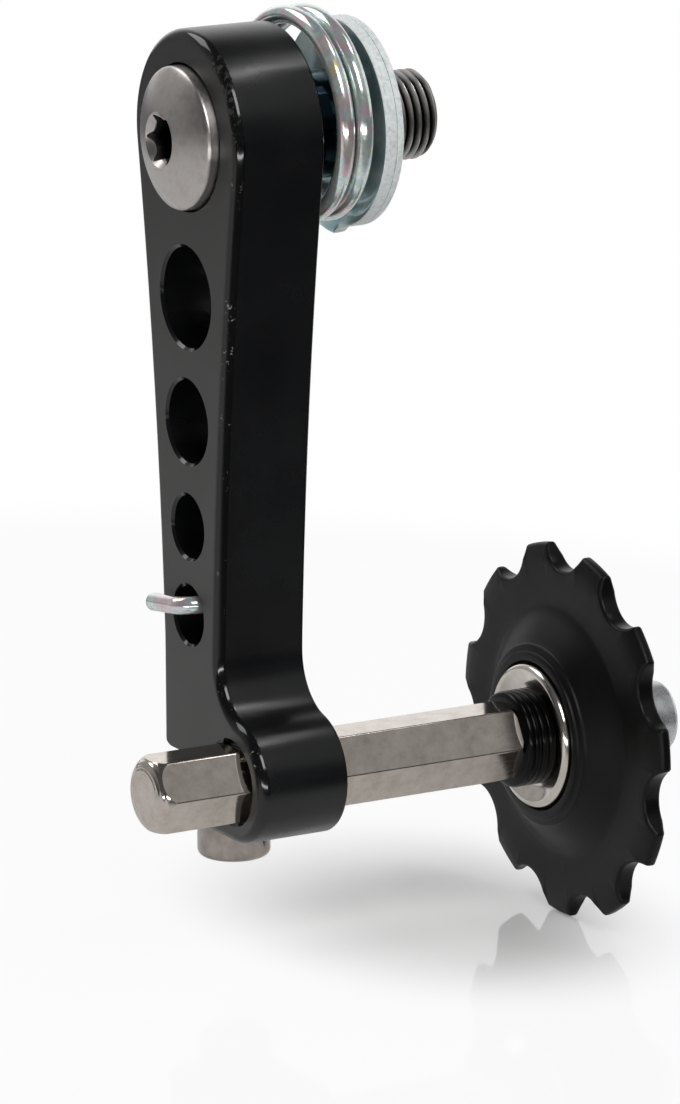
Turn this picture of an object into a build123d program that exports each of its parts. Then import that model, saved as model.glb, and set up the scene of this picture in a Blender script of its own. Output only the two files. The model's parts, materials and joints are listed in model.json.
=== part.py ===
"""Spring-loaded chain tensioner for a bicycle with one rear sprocket.

Millimetres. The pivot axis is Y and Z is up. The origin is on the pivot axis,
where the hanger washer seats on the bicycle's frame: +Y runs along the bolt's
thread into the frame, and -Y comes out through the arm to the bolt's head.
"""

import math
import os

from build123d import *

os.makedirs("parts", exist_ok=True)

# Fits
running_clearance = 0.05
bolt_clearance = 0.1
screw_clearance = 0.05
side_play = 0.05

# How near a point has to lie when edges and corners are picked out by place
pick_tolerance = 0.01

# Pivot bolt
pivot_thread_diameter = 10.0
pivot_thread_length = 8.4
pivot_relief_diameter = 8.8
pivot_relief_length = 0.8
pivot_thread_chamfer = 0.6
bolt_head_diameter = 15.8
bolt_head_sink = 2.0
bolt_head_proud = 1.15
bolt_head_edge_radius = 0.6
bolt_dome_height = 2.3
socket_lobe_reach = 3.25
socket_lobe_radius = 0.86
socket_core_radius = 2.5
socket_depth = 5.0

# Pieces on the pivot bolt
hanger_washer_thickness = 0.8
anchor_plate_thickness = 1.5
plate_diameter = 23.3
plate_edge_break = 0.15
spring_space = 7.6
head_washer_thickness = 0.5
head_gap = 0.3
sleeve_diameter = 12.0

# Arm
arm_thickness = 11.0
boss_wall_thickness = 3.6
side_arc_radius = 500.0
waist_half_width = 6.35
waist_z = -57.0
front_edge_radius = 1.15
back_edge_radius = 0.4
lower_boss_radius = 6.9
flare_radius = 6.3
lip_corner_radius = 2.8
hole_edge_break = 0.3
# Height and radius of each lightening hole, from the top down
lightening_holes = ((-17.75, 5.6), (-31.65, 4.65), (-43.5, 3.55), (-53.5, 3.3))

# Clamp at the arm's lower end
mast_x = 9.48
mast_z = -70.4
slit_width = 1.8
slit_mouth_radius = 2.2
lead_in_diameter = 9.9
lead_in_depth = 0.7

# Clamp screw
clamp_screw_diameter = 5.0
clamp_screw_length = 14.0
clamp_head_diameter = 8.2
clamp_head_height = 4.4
clamp_head_rounding = 0.8
clamp_hole_spare_depth = 1.5
clamp_socket_width = 4.0
clamp_socket_depth = 2.4

# Mast, the six-sided bar that the wheel slides on
mast_width = 8.0
mast_length = 45.9
mast_reach = 10.9
mast_nose_length = 2.3
mast_nose_radius = 2.5
mast_end_chamfer = 0.4
mast_fit = 0.05

# Both small screws
screw_tip_chamfer = 0.5

# Axle screw
axle_screw_diameter = 5.0
axle_screw_length = 30.0
axle_head_diameter = 8.2
axle_head_height = 5.0
axle_head_rounding = 0.7
axle_socket_width = 4.0
axle_socket_depth = 2.6
axle_hole_spare_depth = 2.0

# Spacer rings between mast and wheel
spacer_count = 4
spacer_diameter = 10.9
spacer_thickness = 0.9
spacer_edge_radius = 0.2
first_spacer_chamfer = 0.6

# Dust caps
cap_diameter = 16.4
cap_sheet = 0.6
cap_rim_rise = 0.75
cap_land_radius = 5.7
cap_skirt_depth = 1.4

# Wheel
chain_pitch = 12.7
tooth_count = 11
roller_radius = 3.88
roller_seat_radius = 4.0
tooth_height = 2.8
wheel_plate_thickness = 2.2
tip_taper_length = 1.5
tip_thickness = 1.2
tooth_corner_radius = 0.8
wheel_phase = 121.5
wheel_hub_width = 9.0
hub_ring_radius = 9.4
cone_root_radius = 14.1
hub_step_count = 2
hub_step_width = 0.9
hub_step_height = 0.45
hub_step_slope = 0.2
bush_diameter = 8.0
bush_length = 7.7
cap_gap = 0.25

# Pieces behind the wheel
rear_spacer_thickness = 2.0
lock_washer_thickness = 1.2
lock_washer_diameter = 8.8
lock_washer_split = 0.6

# Torsion spring
wire_diameter = 2.0
coil_radius = 11.0
coil_centre_x = 0.6
coil_centre_z = 1.4
coil_gap = 0.3
coil_start_y = -8.5
spring_end_angle = -470.0
hook_x = 1.3
hook_z = -52.1
hook_leg_y = -8.35
hook_face_gap = 0.3
hook_tail_x = -5.7
hook_tail_drop = 0.95
hook_bend_radius = 2.0
leg_ease_length = 2.0
leg_ease_radius = 60.0
anchor_bend_radius = 1.6
anchor_bend_spare = 0.1
wire_end_rounding = 0.35
anchor_hole_clearance = 0.1
anchor_tab_radius = 12.5
anchor_tab_half_angle = 32.0
anchor_tab_corner = 1.0

top_boss_radius = bolt_head_diameter / 2 + head_gap + boss_wall_thickness

# Stations along the pivot axis
washer_front_y = -hanger_washer_thickness
plate_front_y = washer_front_y - anchor_plate_thickness
arm_back_y = plate_front_y - spring_space
arm_front_y = arm_back_y - arm_thickness
arm_middle_y = (arm_front_y + arm_back_y) / 2
head_seat_y = arm_front_y + bolt_head_sink
counterbore_floor_y = head_seat_y + head_washer_thickness + side_play
head_rim_y = arm_front_y - bolt_head_proud

# Stations along the mast
mast_front_y = arm_front_y - mast_reach
mast_rear_y = mast_front_y + mast_length
cap_land_y = mast_rear_y + spacer_count * spacer_thickness
bush_front_y = cap_land_y + cap_sheet
wheel_middle_y = bush_front_y + bush_length / 2
bush_rear_y = bush_front_y + bush_length
rear_cap_land_y = bush_rear_y + cap_sheet
lock_washer_y = rear_cap_land_y + rear_spacer_thickness
axle_seat_y = lock_washer_y + lock_washer_thickness

mast_axis = Axis((mast_x, 0, mast_z), (0, 1, 0))
mast_section = Plane(origin=(mast_x, 0, mast_z), x_dir=(1, 0, 0), z_dir=(0, 0, 1))


def across(y):
    """The plane that stands across the pivot axis at y, drawn in X and Z."""
    return Plane.XZ.offset(-y)


def across_mast(y):
    """The plane that stands across the mast's axis at y, with that axis at its centre."""
    return Plane(origin=(mast_x, y, mast_z), x_dir=(1, 0, 0), z_dir=(0, 1, 0))


def save(piece, name):
    """Labels a finished piece and writes it to its own file."""
    piece.part.label = name
    export_step(piece.part, f"parts/{name}.step")


def side_arc_start():
    """Where the arm's long side arc leaves the top boss, as X and Z."""
    centre_distance = side_arc_radius + top_boss_radius
    reach = math.hypot(waist_half_width, waist_z)
    along = (centre_distance**2 - side_arc_radius**2 + reach**2) / (2 * reach)
    aside = math.sqrt(centre_distance**2 - along**2)
    ux, uz = waist_half_width / reach, waist_z / reach
    centre_x = along * ux - aside * uz
    centre_z = along * uz + aside * ux
    share = top_boss_radius / centre_distance
    return centre_x * share, centre_z * share


# Arm
lip_bottom_z = mast_z - lower_boss_radius
slit_top_z = mast_z + slit_width / 2
shoulder_x, shoulder_z = side_arc_start()

with BuildPart() as arm:
    with BuildSketch(across(arm_front_y)) as arm_profile:
        with BuildLine():
            ThreePointArc(
                (shoulder_x, shoulder_z), (0, top_boss_radius), (-shoulder_x, shoulder_z)
            )
            RadiusArc((-shoulder_x, shoulder_z), (-waist_half_width, waist_z), side_arc_radius)
            Polyline(
                (-waist_half_width, waist_z),
                (-waist_half_width, lip_bottom_z),
                (waist_half_width, lip_bottom_z),
                (waist_half_width, waist_z),
            )
            RadiusArc((waist_half_width, waist_z), (shoulder_x, shoulder_z), side_arc_radius)
        make_face()
        with Locations((mast_x, mast_z)):
            Circle(lower_boss_radius)
        with Locations((mast_x, lip_bottom_z)):
            Rectangle(mast_x, lower_boss_radius, align=(Align.MAX, Align.MIN))
        inner_corner = arm_profile.vertices().filter_by(
            lambda v: mast_z < v.Y < waist_z - pick_tolerance and v.X > 0
        )
        fillet(inner_corner, flare_radius)
        lip_corner = arm_profile.vertices().group_by(Axis.Y)[0].sort_by(Axis.X)[0]
        fillet(lip_corner, lip_corner_radius)
    extrude(amount=-arm_thickness)
    faces_across = arm.faces().filter_by(Axis.Y).sort_by(Axis.Y)
    fillet(faces_across[0].outer_wire().edges(), front_edge_radius)
    fillet(arm.faces().filter_by(Axis.Y).sort_by(Axis.Y)[-1].outer_wire().edges(), back_edge_radius)

    # Bore for the pivot sleeve, and the counterbore that the bolt's head sinks into
    with BuildSketch(across(arm_front_y)):
        Circle(sleeve_diameter / 2 + running_clearance)
    extrude(amount=-arm_thickness, mode=Mode.SUBTRACT)
    with BuildSketch(across(arm_front_y)):
        Circle(bolt_head_diameter / 2 + head_gap)
    extrude(amount=-(counterbore_floor_y - arm_front_y), mode=Mode.SUBTRACT)

    # Lightening holes, the lowest of which also takes the spring's hook
    for hole_z, hole_radius in lightening_holes:
        with BuildSketch(across(arm_front_y)):
            with Locations((0, hole_z)):
                Circle(hole_radius)
        extrude(amount=-arm_thickness, mode=Mode.SUBTRACT)
    hole_radii = [radius for _, radius in lightening_holes]
    hole_rims = arm.edges().filter_by(GeomType.CIRCLE).filter_by(
        lambda e: e.radius in hole_radii and abs(e.arc_center.X) < pick_tolerance
    )
    chamfer(hole_rims, hole_edge_break)

    # Six-sided hole for the mast, with its round lead-in
    with BuildSketch(across_mast(arm_front_y)):
        RegularPolygon(mast_width / 2 + mast_fit, 6, major_radius=False)
    extrude(amount=arm_thickness, mode=Mode.SUBTRACT)
    with BuildSketch(mast_section):
        with BuildLine():
            Polyline(
                (0, arm_front_y),
                (lead_in_diameter / 2, arm_front_y),
                (lead_in_diameter / 2 - lead_in_depth, arm_front_y + lead_in_depth),
                (0, arm_front_y + lead_in_depth),
                close=True,
            )
        make_face()
    revolve(axis=mast_axis, mode=Mode.SUBTRACT)

    # Slit that lets the lower lip close on the mast, with the upper lip's round corner
    with BuildSketch(across(arm_front_y)):
        with Locations((mast_x, mast_z)):
            Rectangle(mast_x + waist_half_width, slit_width, align=(Align.MAX, Align.CENTER))
        with BuildLine():
            mouth_rise = Line(
                (-waist_half_width, slit_top_z),
                (-waist_half_width, slit_top_z + slit_mouth_radius),
            )
            JernArc(mouth_rise @ 1, (0, -1), slit_mouth_radius, 90)
            Line(
                (-waist_half_width + slit_mouth_radius, slit_top_z),
                (-waist_half_width, slit_top_z),
            )
        make_face()
    extrude(amount=-arm_thickness, mode=Mode.SUBTRACT)

    # Hole for the clamp screw, free in the lower lip and threaded above the slit
    with BuildSketch(Plane((0, arm_middle_y, lip_bottom_z))):
        Circle(clamp_screw_diameter / 2 + screw_clearance)
    extrude(amount=clamp_screw_length + clamp_hole_spare_depth, mode=Mode.SUBTRACT)
save(arm, "arm")

# Pivot bolt
with BuildPart() as pivot_bolt:
    with BuildSketch(Plane.XY):
        with BuildLine():
            dome = TangentArc(
                (0, head_rim_y - bolt_dome_height),
                (bolt_head_diameter / 2, head_rim_y),
                tangent=(1, 0),
            )
            Polyline(
                dome @ 1,
                (bolt_head_diameter / 2, head_seat_y),
                (pivot_thread_diameter / 2, head_seat_y),
                (pivot_thread_diameter / 2, washer_front_y),
                (pivot_relief_diameter / 2, washer_front_y),
                (pivot_relief_diameter / 2, washer_front_y + pivot_relief_length),
                (pivot_thread_diameter / 2, washer_front_y + pivot_relief_length),
                (pivot_thread_diameter / 2, pivot_thread_length - pivot_thread_chamfer),
                (pivot_thread_diameter / 2 - pivot_thread_chamfer, pivot_thread_length),
                (0, pivot_thread_length),
                dome @ 0,
            )
        make_face()
    revolve(axis=Axis.Y)
    head_edge = pivot_bolt.edges().filter_by(lambda e: e.is_closed).sort_by(Axis.Y)[0]
    fillet(head_edge, bolt_head_edge_radius)
    socket_mouth_y = head_rim_y - bolt_dome_height
    with BuildSketch(across(socket_mouth_y)) as lobes:
        Circle(socket_core_radius)
        with PolarLocations(socket_lobe_reach - socket_lobe_radius, 6):
            Circle(socket_lobe_radius)
    extrude(amount=-socket_depth, mode=Mode.SUBTRACT)
save(pivot_bolt, "pivot_bolt")

# Pivot sleeve, gripped between the bolt's head and the anchor plate
with BuildPart() as pivot_sleeve:
    with BuildSketch(across(head_seat_y)):
        Circle(sleeve_diameter / 2)
        Circle(pivot_thread_diameter / 2 + bolt_clearance, mode=Mode.SUBTRACT)
    extrude(amount=-(plate_front_y - head_seat_y))
save(pivot_sleeve, "pivot_sleeve")

# Sliding washer under the bolt's head
with BuildPart() as head_washer:
    with BuildSketch(across(head_seat_y)):
        Circle(bolt_head_diameter / 2)
        Circle(sleeve_diameter / 2 + running_clearance, mode=Mode.SUBTRACT)
    extrude(amount=-head_washer_thickness)
save(head_washer, "head_washer")

# Torsion spring: a tail on the arm's face, a hook through the lowest lightening hole,
# a leg up behind the arm, the coils, which hang off centre, and an end turned into the
# anchor plate's hole
hook_face_y = arm_front_y - hook_face_gap - wire_diameter / 2
hook_distance = math.hypot(hook_x - coil_centre_x, hook_z - coil_centre_z)
leg_turn = math.degrees(math.acos(coil_radius / hook_distance))
hook_angle = math.degrees(math.atan2(hook_z - coil_centre_z, hook_x - coil_centre_x))
coil_start_angle = hook_angle - leg_turn + 360
coil_pitch = wire_diameter + coil_gap
coil_sweep = coil_start_angle - spring_end_angle
coil_height = coil_pitch * coil_sweep / 360
coil_end_y = coil_start_y + coil_height
rise_per_length = coil_pitch / (2 * math.pi * coil_radius)


def coil_point(angle, y):
    """The wire's middle at an angle from +X towards +Z."""
    turn = math.radians(angle)
    return Vector(
        coil_centre_x + coil_radius * math.cos(turn),
        y,
        coil_centre_z + coil_radius * math.sin(turn),
    )


def coil_direction(angle):
    """Which way the wire runs there, clockwise seen from the bolt's head."""
    turn = math.radians(angle)
    return Vector(math.sin(turn), rise_per_length, -math.cos(turn)).normalized()


coil_start = coil_point(coil_start_angle, coil_start_y)
coil_end = coil_point(spring_end_angle, coil_end_y)
leg_ease = coil_start - coil_direction(coil_start_angle) * leg_ease_length
end_corner = coil_end + coil_direction(spring_end_angle) * (
    anchor_bend_radius + anchor_bend_spare
)
spring_end = Vector(end_corner.X, washer_front_y - side_play, end_corner.Z)
coil_start_turn = math.radians(coil_start_angle)
coil_plane = Plane(
    origin=(coil_centre_x, coil_start_y, coil_centre_z),
    x_dir=(math.cos(coil_start_turn), 0, math.sin(coil_start_turn)),
    z_dir=(0, 1, 0),
)

tail_end = Vector(hook_tail_x, hook_face_y, hook_z - hook_tail_drop)

with BuildPart() as torsion_spring:
    with BuildLine() as wire:
        FilletPolyline(
            tail_end,
            (hook_x, hook_face_y, hook_z),
            (hook_x, hook_leg_y, hook_z),
            leg_ease,
            coil_start,
            radius=[hook_bend_radius, hook_bend_radius, leg_ease_radius],
        )
        with Locations(coil_plane):
            add(Helix(coil_pitch, coil_height, coil_radius, mode=Mode.PRIVATE))
        FilletPolyline(coil_end, end_corner, spring_end, radius=anchor_bend_radius)
    with BuildSketch(Plane(origin=tail_end, z_dir=(hook_x - hook_tail_x, 0, hook_tail_drop))):
        Circle(wire_diameter / 2)
    sweep(path=wire.wires()[0])
    tail_rim = torsion_spring.faces().filter_by(GeomType.PLANE).sort_by(Axis.Y)[0].edges()
    fillet(tail_rim, wire_end_rounding)
save(torsion_spring, "torsion_spring")

# Anchor plate: a disc with a short tab beside the hole that holds the spring's end
anchor_hole_angle = math.degrees(math.atan2(end_corner.Z, end_corner.X))
with BuildPart() as anchor_plate:
    with BuildSketch(across(plate_front_y)) as plate_profile:
        with BuildLine():
            tab_arc = CenterArc(
                (0, 0),
                anchor_tab_radius,
                anchor_hole_angle - anchor_tab_half_angle,
                2 * anchor_tab_half_angle,
            )
            Line((0, 0), tab_arc @ 0)
            Line((0, 0), tab_arc @ 1)
        make_face()
        tab_corners = plate_profile.vertices().filter_by(lambda v: math.hypot(v.X, v.Y) > plate_diameter / 2)
        fillet(tab_corners, anchor_tab_corner)
        Circle(plate_diameter / 2)
        Circle(pivot_thread_diameter / 2 + bolt_clearance, mode=Mode.SUBTRACT)
        with Locations((end_corner.X, end_corner.Z)):
            Circle(wire_diameter / 2 + anchor_hole_clearance, mode=Mode.SUBTRACT)
    extrude(amount=-anchor_plate_thickness)
    front_rim = anchor_plate.faces().sort_by(Axis.Y)[0].outer_wire().edges()
    chamfer(front_rim.filter_by(GeomType.CIRCLE).sort_by(SortBy.LENGTH)[-1], plate_edge_break)
save(anchor_plate, "anchor_plate")

# Washer between the anchor plate and the bicycle's frame
with BuildPart() as hanger_washer:
    with BuildSketch(across(washer_front_y)):
        Circle(plate_diameter / 2)
        Circle(pivot_thread_diameter / 2 + bolt_clearance, mode=Mode.SUBTRACT)
    extrude(amount=-hanger_washer_thickness)
    washer_rims = hanger_washer.edges().filter_by(GeomType.CIRCLE).group_by(SortBy.RADIUS)[-1]
    chamfer(washer_rims, plate_edge_break)
save(hanger_washer, "hanger_washer")

# Clamp screw, driven up through the lower lip
clamp_head_z = lip_bottom_z - clamp_head_height
with BuildPart() as clamp_screw:
    with BuildSketch(Plane((0, arm_middle_y, clamp_head_z))):
        Circle(clamp_head_diameter / 2)
    extrude(amount=clamp_head_height)
    fillet(clamp_screw.faces().sort_by(Axis.Z)[0].edges(), clamp_head_rounding)
    with BuildSketch(Plane((0, arm_middle_y, lip_bottom_z))):
        Circle(clamp_screw_diameter / 2)
    extrude(amount=clamp_screw_length)
    chamfer(clamp_screw.faces().sort_by(Axis.Z)[-1].edges(), screw_tip_chamfer)
    with BuildSketch(Plane((0, arm_middle_y, clamp_head_z))):
        RegularPolygon(clamp_socket_width / 2, 6, major_radius=False)
    extrude(amount=clamp_socket_depth, mode=Mode.SUBTRACT)
save(clamp_screw, "clamp_screw")

# Mast with its rounded nose, and the threaded hole for the axle screw
mast_corner_radius = mast_width / math.sqrt(3)
with BuildPart() as mast:
    with BuildSketch(across_mast(mast_front_y)):
        RegularPolygon(mast_width / 2, 6, major_radius=False)
    extrude(amount=mast_length)
    with BuildSketch(mast_section):
        with BuildLine():
            nose = TangentArc(
                (mast_corner_radius, mast_front_y + mast_nose_length),
                (mast_nose_radius, mast_front_y),
                tangent=(0, -1),
            )
            Polyline(
                nose @ 1,
                (0, mast_front_y),
                (0, mast_rear_y),
                (mast_corner_radius - mast_end_chamfer, mast_rear_y),
                (mast_corner_radius, mast_rear_y - mast_end_chamfer),
                nose @ 0,
            )
        make_face()
    revolve(axis=mast_axis, mode=Mode.INTERSECT)
    axle_hole_depth = axle_screw_length - (axle_seat_y - mast_rear_y) + axle_hole_spare_depth
    with BuildSketch(across_mast(mast_rear_y)):
        Circle(axle_screw_diameter / 2 + screw_clearance)
    extrude(amount=-axle_hole_depth, mode=Mode.SUBTRACT)
save(mast, "mast")

# Spacer rings, the first of them coned down to the mast
for index in range(spacer_count):
    ring_y = mast_rear_y + index * spacer_thickness
    with BuildPart() as spacer_ring:
        with BuildSketch(across_mast(ring_y)):
            Circle(spacer_diameter / 2)
            Circle(axle_screw_diameter / 2 + screw_clearance, mode=Mode.SUBTRACT)
        extrude(amount=spacer_thickness)
        ring_rims = spacer_ring.edges().filter_by(GeomType.CIRCLE).group_by(SortBy.RADIUS)[-1]
        if index == 0:
            chamfer(ring_rims.sort_by(Axis.Y)[0], first_spacer_chamfer)
        else:
            fillet(ring_rims, spacer_edge_radius)
    save(spacer_ring, f"spacer_ring_{index + 1}")

# Dust caps, pressed from sheet: a flat land, a dished flange and a turned-back rim.
# The front cap faces -Y and the rear one +Y.
cap_bore_radius = axle_screw_diameter / 2 + screw_clearance
cap_radius = cap_diameter / 2
for cap_name, land_y, inward in (
    ("dust_cap_front", cap_land_y, 1),
    ("dust_cap_rear", rear_cap_land_y, -1),
):
    rim_y = land_y - inward * cap_rim_rise
    with BuildPart() as dust_cap:
        with BuildSketch(mast_section):
            with BuildLine():
                Polyline(
                    (cap_bore_radius, land_y + inward * cap_sheet),
                    (cap_bore_radius, land_y),
                    (cap_land_radius, land_y),
                    (cap_radius - cap_sheet, rim_y),
                )
                RadiusArc(
                    (cap_radius - cap_sheet, rim_y),
                    (cap_radius, rim_y + inward * cap_sheet),
                    inward * cap_sheet,
                )
                Polyline(
                    (cap_radius, rim_y + inward * cap_sheet),
                    (cap_radius, land_y + inward * cap_skirt_depth),
                    (cap_radius - cap_sheet, land_y + inward * cap_skirt_depth),
                    (cap_radius - cap_sheet, rim_y + inward * cap_sheet),
                    (cap_land_radius, land_y + inward * cap_sheet),
                    (cap_bore_radius, land_y + inward * cap_sheet),
                )
            make_face()
        revolve(axis=mast_axis)
    save(dust_cap, cap_name)

# Bush that the wheel turns on
with BuildPart() as wheel_bush:
    with BuildSketch(across_mast(bush_front_y)):
        Circle(bush_diameter / 2)
        Circle(axle_screw_diameter / 2 + screw_clearance, mode=Mode.SUBTRACT)
    extrude(amount=bush_length)
save(wheel_bush, "wheel_bush")

# Toothed wheel. Its section is turned first, then the gaps for the chain's rollers are cut.
# The rollers sit on the circle whose chords between neighbours are one pitch long.
roller_circle_radius = chain_pitch / (2 * math.sin(math.pi / tooth_count))
wheel_root_radius = roller_circle_radius - roller_radius
seat_centre_radius = wheel_root_radius + roller_seat_radius
wheel_tip_radius = wheel_root_radius + tooth_height
tip_taper_radius = wheel_tip_radius - tip_taper_length
hub_half = wheel_hub_width / 2
plate_half = wheel_plate_thickness / 2
tip_half = tip_thickness / 2
recess_radius = cap_radius + cap_gap
recess_half = bush_length / 2 + cap_sheet - cap_skirt_depth - cap_gap
half_section = [
    (bush_diameter / 2 + running_clearance, 0),
    (bush_diameter / 2 + running_clearance, recess_half),
    (recess_radius, recess_half),
    (recess_radius, hub_half),
]
for step in range(hub_step_count):
    step_radius = hub_ring_radius + step * hub_step_width
    step_half = hub_half - step * hub_step_height
    half_section.append((step_radius, step_half))
    half_section.append((step_radius + hub_step_slope, step_half - hub_step_height))
half_section += [
    (step_radius + hub_step_width, hub_half - hub_step_count * hub_step_height),
    (cone_root_radius, plate_half),
    (tip_taper_radius, plate_half),
    (wheel_tip_radius, tip_half),
]
front_half = [(radius, wheel_middle_y - half) for radius, half in half_section]
rear_half = [(radius, wheel_middle_y + half) for radius, half in reversed(half_section)]
with BuildPart() as chain_wheel:
    with BuildSketch(mast_section):
        with BuildLine():
            Polyline(*front_half, *rear_half[:-1], close=True)
        make_face()
    revolve(axis=mast_axis)
    with BuildSketch(across(wheel_middle_y - hub_half)) as tooth_outline:
        with Locations(Location((mast_x, mast_z), wheel_phase)):
            Circle(wheel_tip_radius)
            with PolarLocations(seat_centre_radius, tooth_count):
                Circle(roller_seat_radius, mode=Mode.SUBTRACT)
        fillet(tooth_outline.vertices(), tooth_corner_radius)
    extrude(amount=-wheel_hub_width, mode=Mode.INTERSECT)
save(chain_wheel, "chain_wheel")

# Spacer, split lock washer and axle screw behind the wheel
with BuildPart() as rear_spacer:
    with BuildSketch(across_mast(rear_cap_land_y)):
        Circle(spacer_diameter / 2)
        Circle(axle_screw_diameter / 2 + screw_clearance, mode=Mode.SUBTRACT)
    extrude(amount=rear_spacer_thickness)
    fillet(
        rear_spacer.edges().filter_by(GeomType.CIRCLE).group_by(SortBy.RADIUS)[-1],
        spacer_edge_radius,
    )
save(rear_spacer, "rear_spacer")

with BuildPart() as lock_washer:
    with BuildSketch(across_mast(lock_washer_y)):
        Circle(lock_washer_diameter / 2)
        Circle(axle_screw_diameter / 2 + screw_clearance, mode=Mode.SUBTRACT)
        Rectangle(
            lock_washer_diameter,
            lock_washer_split,
            align=(Align.MIN, Align.CENTER),
            mode=Mode.SUBTRACT,
        )
    extrude(amount=lock_washer_thickness)
save(lock_washer, "lock_washer")

with BuildPart() as axle_screw:
    with BuildSketch(across_mast(axle_seat_y)):
        Circle(axle_head_diameter / 2)
    extrude(amount=axle_head_height)
    fillet(axle_screw.faces().sort_by(Axis.Y)[-1].edges(), axle_head_rounding)
    with BuildSketch(across_mast(axle_seat_y)):
        Circle(axle_screw_diameter / 2)
    extrude(amount=-axle_screw_length)
    chamfer(axle_screw.faces().sort_by(Axis.Y)[0].edges(), screw_tip_chamfer)
    with BuildSketch(across_mast(axle_seat_y + axle_head_height)):
        RegularPolygon(axle_socket_width / 2, 6, major_radius=False)
    extrude(amount=-axle_socket_depth, mode=Mode.SUBTRACT)
save(axle_screw, "axle_screw")
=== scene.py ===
"""Looks of the spring-loaded chain tensioner. Metres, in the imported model's frame."""

import json
import math

import bmesh
import bpy
from mathutils import Matrix, Vector


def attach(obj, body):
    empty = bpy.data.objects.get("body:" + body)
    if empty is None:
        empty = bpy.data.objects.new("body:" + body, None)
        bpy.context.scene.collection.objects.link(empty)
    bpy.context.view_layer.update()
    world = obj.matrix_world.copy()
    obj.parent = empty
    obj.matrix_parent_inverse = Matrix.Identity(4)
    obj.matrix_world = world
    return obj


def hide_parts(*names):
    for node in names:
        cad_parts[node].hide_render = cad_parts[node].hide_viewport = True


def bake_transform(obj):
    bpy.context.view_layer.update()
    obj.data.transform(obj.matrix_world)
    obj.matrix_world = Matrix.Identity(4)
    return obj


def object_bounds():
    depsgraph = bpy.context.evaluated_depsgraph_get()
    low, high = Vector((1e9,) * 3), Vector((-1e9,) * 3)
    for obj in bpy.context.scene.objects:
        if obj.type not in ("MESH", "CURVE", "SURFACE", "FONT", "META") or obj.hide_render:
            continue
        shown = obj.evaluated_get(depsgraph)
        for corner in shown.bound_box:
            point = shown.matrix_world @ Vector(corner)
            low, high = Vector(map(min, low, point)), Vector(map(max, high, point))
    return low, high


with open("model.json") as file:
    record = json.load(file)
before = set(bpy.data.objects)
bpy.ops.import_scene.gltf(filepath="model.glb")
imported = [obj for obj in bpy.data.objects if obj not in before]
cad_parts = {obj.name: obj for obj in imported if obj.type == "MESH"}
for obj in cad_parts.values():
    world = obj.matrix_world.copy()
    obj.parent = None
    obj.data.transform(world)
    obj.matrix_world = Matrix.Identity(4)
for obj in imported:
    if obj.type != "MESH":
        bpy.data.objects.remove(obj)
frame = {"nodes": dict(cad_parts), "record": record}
nodes = frame["nodes"]
cad_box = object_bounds()
mm = 0.001
merge_distance = 0.001 * mm

# Sizes repeated from the part's source, in millimetres
mast_x, mast_z = 9.48, -70.4
arm_front_y, head_seat_y, head_rim_y = -20.9, -18.9, -22.05
mast_front_y, mast_rear_y, cap_land_y = -31.8, 14.1, 17.7
wheel_middle_y, rear_cap_land_y, axle_seat_y = 22.15, 26.6, 29.8
clamp_screw_y, clamp_seat_z = -15.4, -77.3

# Camera, from a fit to the photograph's edges: degrees, then millimetres and pixels
view_azimuth, view_elevation, view_roll = (math.radians(a) for a in (60.48, 13.86, -0.23))
view_distance, view_right, view_up = 750.0, 16.76, -45.01
focal_pixels, picture_height = 6911.0, 1104.0
fit_offset_y = -20.7

back = Vector(
    (
        math.sin(view_azimuth) * math.cos(view_elevation),
        -math.cos(view_azimuth) * math.cos(view_elevation),
        math.sin(view_elevation),
    )
)
level_right = (-back).cross(Vector((0, 0, 1))).normalized()
level_up = level_right.cross(-back)
right = math.cos(view_roll) * level_right + math.sin(view_roll) * level_up
up = -math.sin(view_roll) * level_right + math.cos(view_roll) * level_up
camera_place = (
    right * view_right + up * view_up + back * view_distance + Vector((0, fit_offset_y, 0))
)
camera_axes = Matrix((right, up, back)).transposed().to_4x4()

camera_data = bpy.data.cameras.new("camera")
camera_data.sensor_width = 36.0
camera_data.lens = focal_pixels / picture_height * camera_data.sensor_width
camera_data.clip_start, camera_data.clip_end = 0.05, 20.0
camera = bpy.data.objects.new("camera", camera_data)
camera.matrix_world = Matrix.Translation(camera_place * mm) @ camera_axes
bpy.context.collection.objects.link(camera)
scene = bpy.context.scene
scene.camera = camera
scene.view_settings.view_transform = "Standard"


def linear(code, alpha=1.0):
    """A linear colour from a hex sRGB code."""
    channels = [int(code[i : i + 2], 16) / 255 for i in (0, 2, 4)]
    return [c / 12.92 if c <= 0.04045 else ((c + 0.055) / 1.055) ** 2.4 for c in channels] + [alpha]


def add_node(tree, kind, inputs=None, stops=(), **settings):
    """Adds a node; an input is a value or another node's output socket."""
    node = tree.nodes.new(kind)
    for name, value in settings.items():
        setattr(node, name, value)
    for index, (position, code) in enumerate(stops):
        elements = node.color_ramp.elements
        stop = elements[index] if index < len(elements) else elements.new(position)
        stop.position, stop.color = position, linear(code)
    for name, value in (inputs or {}).items():
        if isinstance(value, bpy.types.NodeSocket):
            tree.links.new(value, node.inputs[name])
        else:
            node.inputs[name].default_value = value
    return node


def new_material(name):
    """A fresh material, its tree and the Object coordinates."""
    material = bpy.data.materials.new(name)
    material.use_nodes = True
    tree = material.node_tree
    tree.nodes.clear()
    place = add_node(tree, "ShaderNodeTexCoord").outputs["Object"]
    return material, tree, place


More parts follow.
